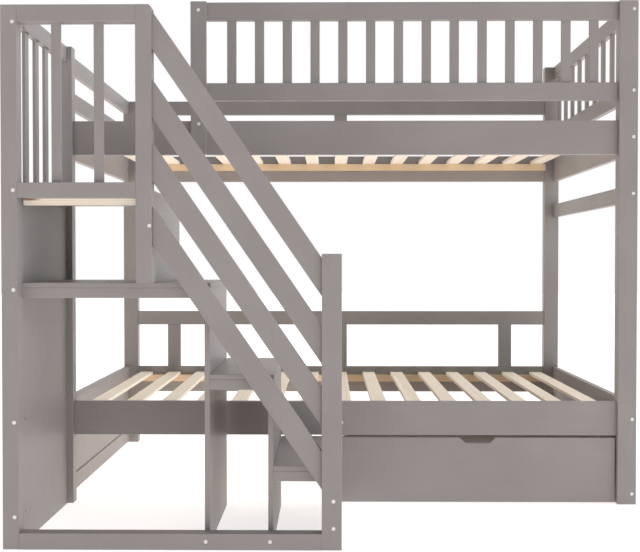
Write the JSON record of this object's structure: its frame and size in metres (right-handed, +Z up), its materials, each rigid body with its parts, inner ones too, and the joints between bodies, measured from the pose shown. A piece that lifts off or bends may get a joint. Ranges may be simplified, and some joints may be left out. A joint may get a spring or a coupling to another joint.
{
  "type": "bunk bed",
  "caption": "Grey painted pine bunk bed with slatted bases, guard rails, a storage staircase with a sloping board hand rail, and a rolling drawer under the lower bunk.",
  "frame": {"origin": "on the floor under the middle of the whole footprint, bed and staircase together", "axes": "+X to the right along the bed, +Y from the staircase to the bed's rear side, +Z up"},
  "size_m": [2, 1.575, 1.724],
  "materials": {
    "grey_paint": "satin paint",
    "pine": "planed, unpainted",
    "steel": "zinc plated",
    "wheel_plastic": "moulded"
  },
  "bodies": {
    "frame": {"front_left_post": "grey_paint", "front_right_post": "grey_paint", "rear_left_post": "grey_paint", "rear_right_post": "grey_paint", "lower_front_rail": "grey_paint", "lower_rear_rail": "grey_paint", "upper_front_rail": "grey_paint", "upper_rear_rail": "grey_paint", "bottom_end_rails": "grey_paint", "lower_end_rails": "grey_paint", "upper_end_rails": "grey_paint", "middle_end_rail": "grey_paint", "end_panels": "grey_paint", "left_guard_rails": "grey_paint", "right_guard_rails": "grey_paint", "right_guard_balusters": "grey_paint", "front_guard_post": "grey_paint", "front_guard_top_rail": "grey_paint", "front_guard_lower_rail": "grey_paint", "front_guard_balusters": "grey_paint", "rear_guard_rail": "grey_paint", "lower_guard_rail": "grey_paint", "rear_guard_uprights": "grey_paint", "support_cleats": "pine", "lower_slats": "pine", "upper_slats": "pine", "centre_bearer": "pine", "stair_left_stile": "grey_paint", "stair_right_stile": "grey_paint", "stair_top_rail": "grey_paint", "stair_middle_rail": "grey_paint", "stair_base_rail": "grey_paint", "newel_post": "grey_paint", "stair_side_rails": "grey_paint", "stair_balusters": "grey_paint", "handrail_boards": "grey_paint", "treads": "grey_paint", "tread_aprons": "grey_paint", "platform_board": "grey_paint", "stair_side_panel": "grey_paint", "tall_divider": "grey_paint", "short_divider": "grey_paint", "newel_panel": "grey_paint", "riser_panel": "grey_paint", "frame_bolts": "steel", "barrel_nuts": "steel", "wood_dowels": "pine", "wood_screws": "steel"},
    "drawer": {"drawer_front": "grey_paint", "drawer_sides": "grey_paint", "drawer_back": "grey_paint", "drawer_bottom": "grey_paint", "caster_brackets": "steel", "caster_axles": "steel", "drawer_screws": "steel", "drawer_dowels": "pine"},
    "front_left_wheel": {"front_left_wheel": "wheel_plastic"},
    "front_right_wheel": {"front_right_wheel": "wheel_plastic"},
    "rear_left_wheel": {"rear_left_wheel": "wheel_plastic"},
    "rear_right_wheel": {"rear_right_wheel": "wheel_plastic"}
  },
  "joints": [
    {"name": "drawer_slide", "type": "slide", "parent": "frame", "child": "drawer", "axis": [0, -1, 0], "range_m": [0, 0.75]},
    {"name": "front_left_wheel_roll", "type": "hinge", "parent": "drawer", "child": "front_left_wheel", "pos_m": [0.084, -0.1795, 0.02], "axis": [1, 0, 0], "continuous": true},
    {"name": "front_right_wheel_roll", "type": "hinge", "parent": "drawer", "child": "front_right_wheel", "pos_m": [0.835, -0.1795, 0.02], "axis": [1, 0, 0], "continuous": true},
    {"name": "rear_left_wheel_roll", "type": "hinge", "parent": "drawer", "child": "rear_left_wheel", "pos_m": [0.084, 0.5305, 0.02], "axis": [1, 0, 0], "continuous": true},
    {"name": "rear_right_wheel_roll", "type": "hinge", "parent": "drawer", "child": "rear_right_wheel", "pos_m": [0.835, 0.5305, 0.02], "axis": [1, 0, 0], "continuous": true}
  ],
  "couplings": [
    {"joint": "front_left_wheel_roll", "follows": "drawer_slide", "rad_per_m": 50},
    {"joint": "front_right_wheel_roll", "follows": "drawer_slide", "rad_per_m": 50},
    {"joint": "rear_left_wheel_roll", "follows": "drawer_slide", "rad_per_m": 50},
    {"joint": "rear_right_wheel_roll", "follows": "drawer_slide", "rad_per_m": 50}
  ]
}
